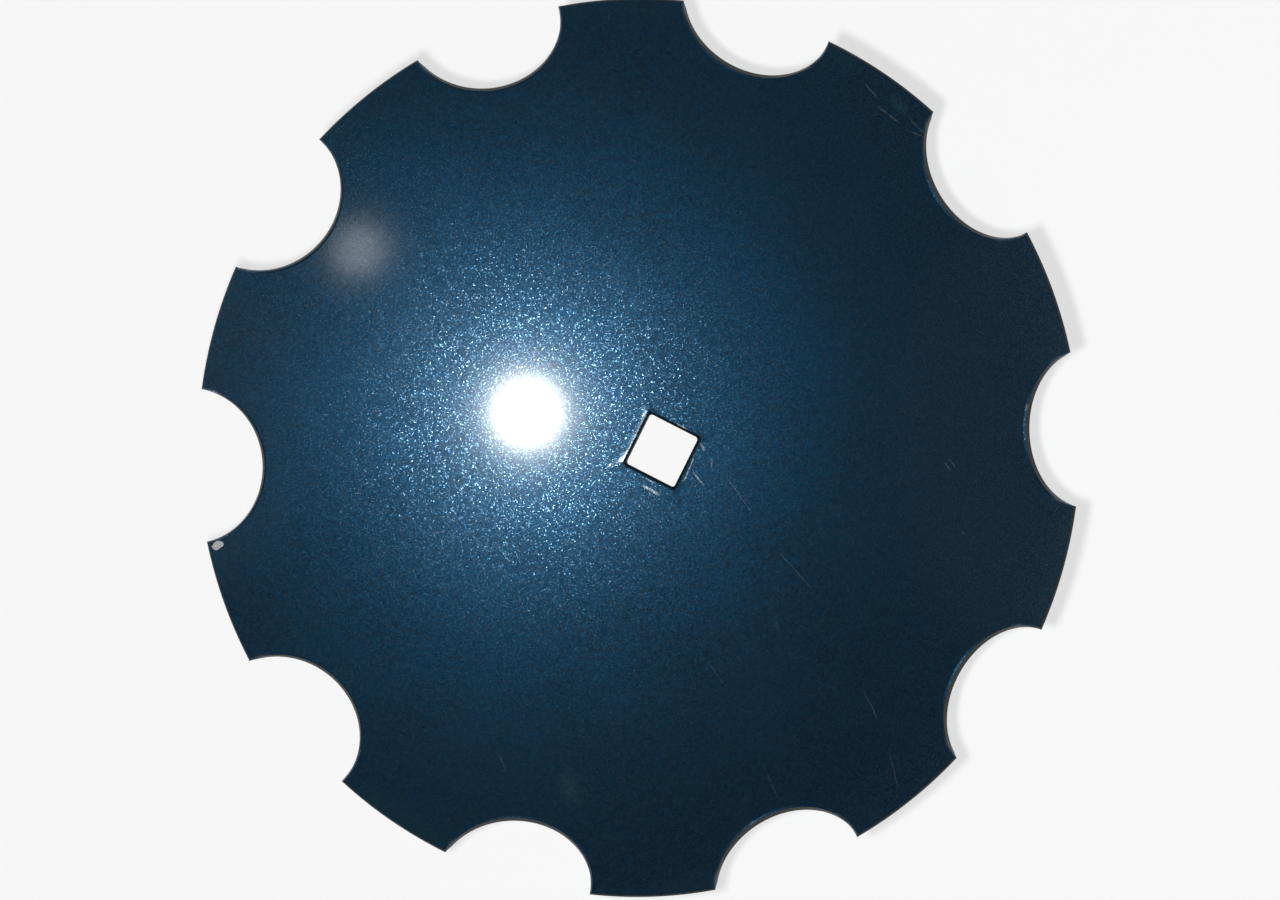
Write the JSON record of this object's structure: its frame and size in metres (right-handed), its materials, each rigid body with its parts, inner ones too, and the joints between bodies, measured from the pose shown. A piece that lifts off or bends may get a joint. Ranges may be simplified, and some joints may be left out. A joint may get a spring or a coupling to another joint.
{
  "type": "harrow disc blade",
  "caption": "Dished round harrow blade with scalloped cutting edge and square axle hole, for a disc harrow gang.",
  "frame": {"origin": "bottom centre of the blade's box, on the surface that it lies on, under the middle of the square hole", "axes": "+Z along the blade's axis, out of its hollow side; X and Y parallel to the sides of the square hole"},
  "size_m": [0.6598, 0.6592, 0.1038],
  "materials": {
    "blade_paint": "gloss dark blue paint on pressed spring steel"
  },
  "bodies": {
    "root": {"disc_blade": "blade_paint"}
  },
  "joints": []
}
